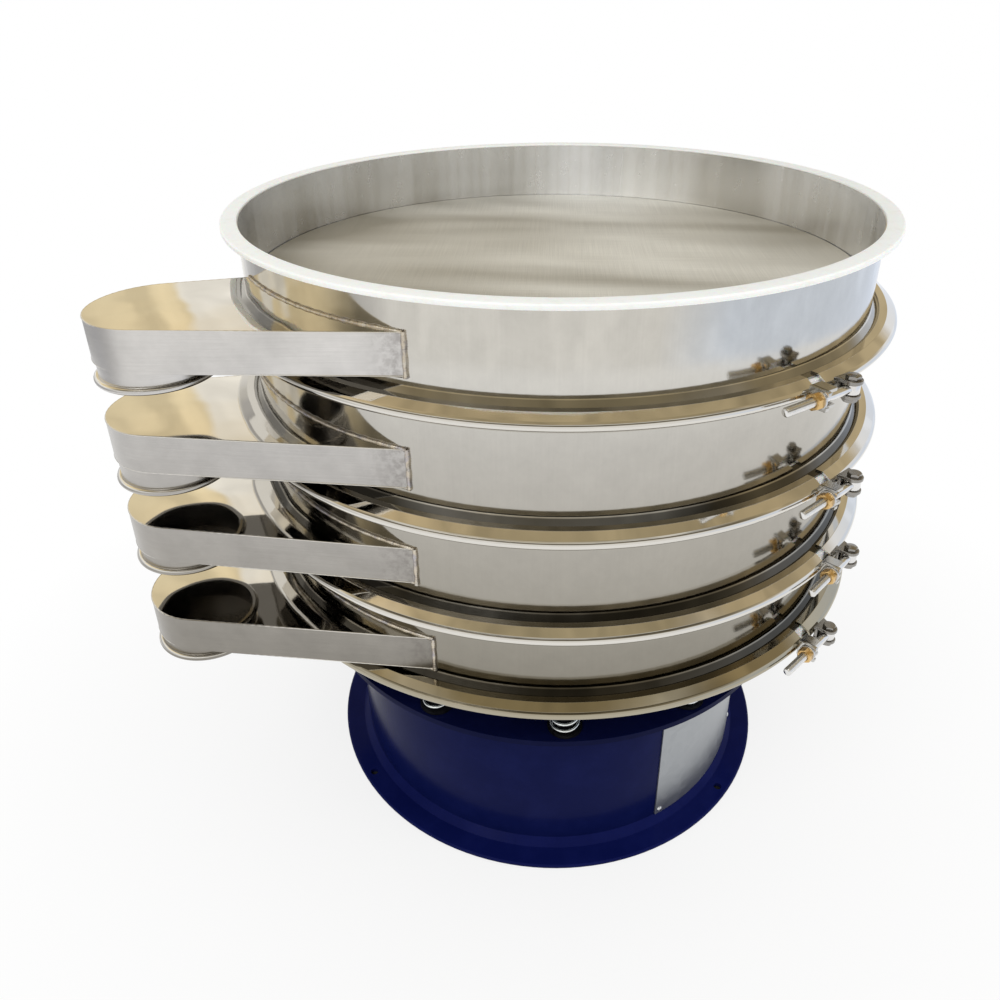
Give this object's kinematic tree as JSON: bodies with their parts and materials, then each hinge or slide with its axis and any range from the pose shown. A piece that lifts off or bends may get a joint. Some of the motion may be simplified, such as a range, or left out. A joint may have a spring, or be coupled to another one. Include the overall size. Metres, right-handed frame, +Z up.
{
  "type": "vibrating sieve",
  "caption": "Round stacked screening machine: mesh decks in stainless drums with side outlets, clamp rings with swing latches, vertical motor and coil springs on a blue base.",
  "frame": {"origin": "centre of the base flange on the floor, on the stack's axis", "axes": "+Z up the stack's axis, -Y towards the viewer, +X to the viewer's right; the outlets leave to the front left"},
  "size_m": [1.1173, 1.03, 1.0285],
  "materials": {
    "blue_paint": "glossy deep blue enamel",
    "galvanised": "bright galvanised sheet and wire",
    "zinc_steel": "zinc plated fasteners",
    "grey_paint": "satin grey paint",
    "machined_steel": "turned steel",
    "weight_steel": "dark cast weights",
    "stainless_satin": "satin stainless",
    "rim_silicone": "cream silicone rubber",
    "stainless_brushed": "brushed stainless sheet",
    "stainless_polished": "mirror polished stainless",
    "silicone": "cream silicone rubber",
    "latch_steel": "cast stainless latch parts",
    "brass": "plain brass",
    "wire_mesh": "fine woven stainless mesh"
  },
  "bodies": {
    "base": {"base_foot": "blue_paint", "base_body": "blue_paint", "base_plate": "blue_paint", "service_cover": "galvanised", "cover_screws": "zinc_steel", "lower_spring_seats": "zinc_steel", "springs": "galvanised"},
    "rotor": {"motor_shaft": "machined_steel", "upper_weight": "weight_steel", "lower_weight": "weight_steel", "trim_weight": "weight_steel"},
    "latch_1": {"eye_bolt_1": "latch_steel"},
    "nut_1": {"latch_nut_1": "brass", "latch_washer_1": "latch_steel"},
    "latch_2": {"eye_bolt_2": "latch_steel"},
    "nut_2": {"latch_nut_2": "brass", "latch_washer_2": "latch_steel"},
    "latch_3": {"eye_bolt_3": "latch_steel"},
    "nut_3": {"latch_nut_3": "brass", "latch_washer_3": "latch_steel"},
    "latch_4": {"eye_bolt_4": "latch_steel"},
    "nut_4": {"latch_nut_4": "brass", "latch_washer_4": "latch_steel"},
    "sieve_stack": {"bottom_pan": "stainless_satin", "clamp_band_1": "stainless_polished", "clamp_band_2": "stainless_polished", "clamp_band_3": "stainless_polished", "clamp_band_4": "stainless_polished", "clamp_gasket_1": "silicone", "clamp_gasket_2": "silicone", "clamp_gasket_3": "silicone", "clamp_gasket_4": "silicone", "deck_frame_1": "stainless_brushed", "deck_frame_2": "stainless_brushed", "deck_frame_3": "stainless_brushed", "deck_frame_4": "stainless_brushed", "drive_frame": "grey_paint", "latch_pin_1": "latch_steel", "latch_pin_2": "latch_steel", "latch_pin_3": "latch_steel", "latch_pin_4": "latch_steel", "motor_bolts": "zinc_steel", "motor_housing": "grey_paint", "outlet_collar_1": "stainless_polished", "outlet_collar_2": "stainless_polished", "outlet_collar_3": "stainless_polished", "outlet_collar_4": "stainless_polished", "rim_gasket": "rim_silicone", "screen_mesh_1": "wire_mesh", "screen_mesh_2": "wire_mesh", "screen_mesh_3": "wire_mesh", "screen_ring_1": "stainless_satin", "screen_ring_2": "stainless_satin", "screen_ring_3": "stainless_satin", "spout_1": "stainless_polished", "spout_2": "stainless_polished", "spout_3": "stainless_polished", "spout_4": "stainless_polished", "terminal_box": "grey_paint", "upper_spring_seats": "zinc_steel"}
  },
  "joints": [
    {"name": "stack_bounce", "type": "slide", "parent": "base", "child": "sieve_stack", "axis": [0, 0, 1], "range_m": [-0.004, 0.004], "stiffness_N_per_m": 90000, "springref_m": 0.0265, "deforming": ["springs"]},
    {"name": "rotor_spin", "type": "hinge", "parent": "sieve_stack", "child": "rotor", "pos_m": [0, 0, 0.418], "axis": [0, 0, 1], "continuous": true},
    {"name": "latch_1_swing", "type": "hinge", "parent": "sieve_stack", "child": "latch_1", "pos_m": [0.3573, -0.39439, 0.891], "axis": [0, 0, 1], "range_deg": [0, 110]},
    {"name": "nut_1_travel", "type": "slide", "parent": "latch_1", "child": "nut_1", "axis": [-0.7986, -0.6018, 0], "range_m": [0, 0.03]},
    {"name": "latch_2_swing", "type": "hinge", "parent": "sieve_stack", "child": "latch_2", "pos_m": [0.39965, -0.35141, 0.733], "axis": [0, 0, 1], "range_deg": [0, 110]},
    {"name": "nut_2_travel", "type": "slide", "parent": "latch_2", "child": "nut_2", "axis": [-0.7254, -0.6884, 0], "range_m": [0, 0.03]},
    {"name": "latch_3_swing", "type": "hinge", "parent": "sieve_stack", "child": "latch_3", "pos_m": [0.43419, -0.30771, 0.585], "axis": [0, 0, 1], "range_deg": [0, 110]},
    {"name": "nut_3_travel", "type": "slide", "parent": "latch_3", "child": "nut_3", "axis": [-0.6494, -0.7604, 0], "range_m": [0, 0.03]},
    {"name": "latch_4_swing", "type": "hinge", "parent": "sieve_stack", "child": "latch_4", "pos_m": [0.42035, -0.32635, 0.456], "axis": [0, 0, 1], "range_deg": [0, 110]},
    {"name": "nut_4_travel", "type": "slide", "parent": "latch_4", "child": "nut_4", "axis": [-0.682, -0.7314, 0], "range_m": [0, 0.03]}
  ],
  "couplings": [
    {"joint": "nut_1_travel", "follows": "latch_1_swing", "m_per_rad": 0.0125},
    {"joint": "nut_2_travel", "follows": "latch_2_swing", "m_per_rad": 0.0125},
    {"joint": "nut_3_travel", "follows": "latch_3_swing", "m_per_rad": 0.0125},
    {"joint": "nut_4_travel", "follows": "latch_4_swing", "m_per_rad": 0.0125}
  ]
}
